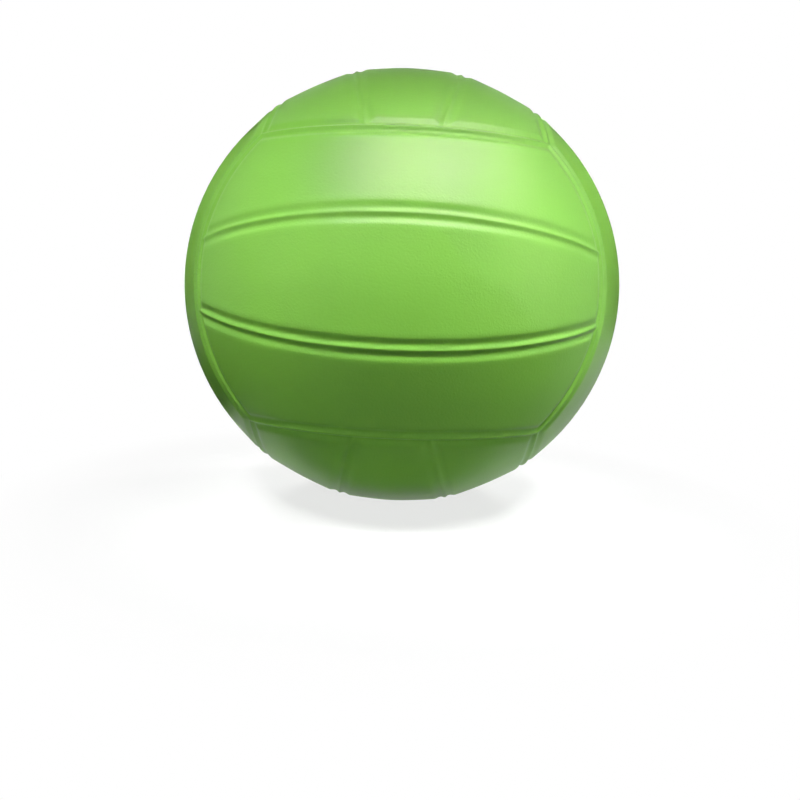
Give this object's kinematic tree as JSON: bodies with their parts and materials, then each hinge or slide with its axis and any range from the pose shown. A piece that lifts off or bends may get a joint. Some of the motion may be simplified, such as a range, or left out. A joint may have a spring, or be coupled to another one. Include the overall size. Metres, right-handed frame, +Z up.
{
  "type": "mini volleyball",
  "caption": "Small hollow vinyl ball with volleyball panels moulded in relief, ribbed seams, and a needle valve with a removable core.",
  "frame": {"origin": "centre of the ball", "axes": "+Z up, -Y towards the camera of the picture, +Y out of the valve along the needle passage"},
  "size_m": [0.15, 0.1498, 0.15],
  "materials": {
    "green_vinyl": "satin",
    "natural_vinyl": "satin",
    "black_rubber": "matte"
  },
  "bodies": {
    "ball": {"skin": "green_vinyl", "valve_housing": "natural_vinyl"},
    "valve_core": {"valve_core": "black_rubber"}
  },
  "joints": [
    {"name": "core_pull", "type": "slide", "parent": "ball", "child": "valve_core", "axis": [0, 1, 0], "range_m": [0, 0.03]}
  ]
}
